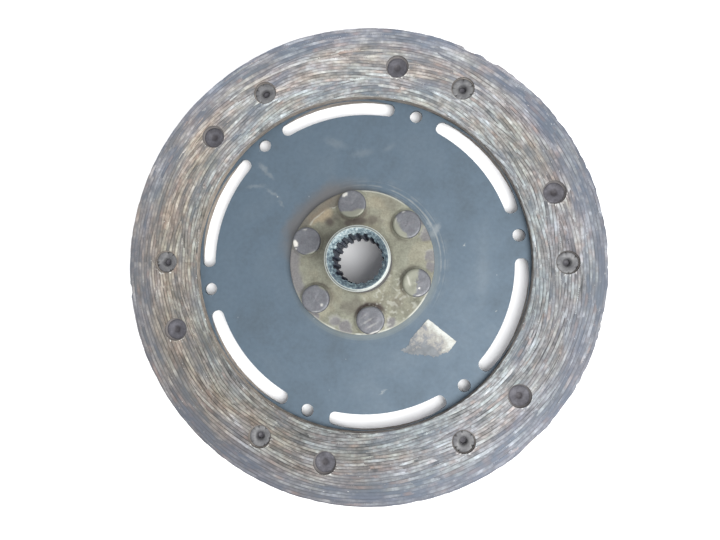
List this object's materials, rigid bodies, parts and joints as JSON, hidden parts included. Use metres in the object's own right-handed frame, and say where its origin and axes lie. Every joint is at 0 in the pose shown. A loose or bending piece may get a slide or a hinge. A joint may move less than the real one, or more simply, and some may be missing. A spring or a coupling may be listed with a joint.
{
  "type": "clutch disc",
  "caption": "Rigid clutch disc: splined hub riveted to a slotted carrier plate that holds a worn friction facing on each side.",
  "frame": {"origin": "on the hub's axis at the lower face of the rear facing, which the disc rests on", "axes": "+Z along the hub's axis towards its long nose; +X and +Y in the plane of the disc"},
  "size_m": [0.18, 0.18, 0.0268],
  "materials": {
    "hub_steel": "forged and turned steel under olive grime, nose ring polished",
    "plate_steel": "blue-grey phosphated sheet steel, satin, lightly scratched",
    "friction_facing": "worn wound-yarn friction material, streaky tan and grey",
    "facing_rivet_steel": "dull grey-brown steel, dusty",
    "hub_rivet_steel": "dull steel with traces of grime"
  },
  "bodies": {
    "root": {"hub": "hub_steel", "carrier_plate": "plate_steel", "front_facing": "friction_facing", "rear_facing": "friction_facing", "facing_rivet_01": "facing_rivet_steel", "facing_rivet_02": "facing_rivet_steel", "facing_rivet_03": "facing_rivet_steel", "facing_rivet_04": "facing_rivet_steel", "facing_rivet_05": "facing_rivet_steel", "facing_rivet_06": "facing_rivet_steel", "facing_rivet_07": "facing_rivet_steel", "facing_rivet_08": "facing_rivet_steel", "facing_rivet_09": "facing_rivet_steel", "facing_rivet_10": "facing_rivet_steel", "facing_rivet_11": "facing_rivet_steel", "facing_rivet_12": "facing_rivet_steel", "hub_rivet_1": "hub_rivet_steel", "hub_rivet_2": "hub_rivet_steel", "hub_rivet_3": "hub_rivet_steel", "hub_rivet_4": "hub_rivet_steel", "hub_rivet_5": "hub_rivet_steel", "hub_rivet_6": "hub_rivet_steel"}
  },
  "joints": []
}
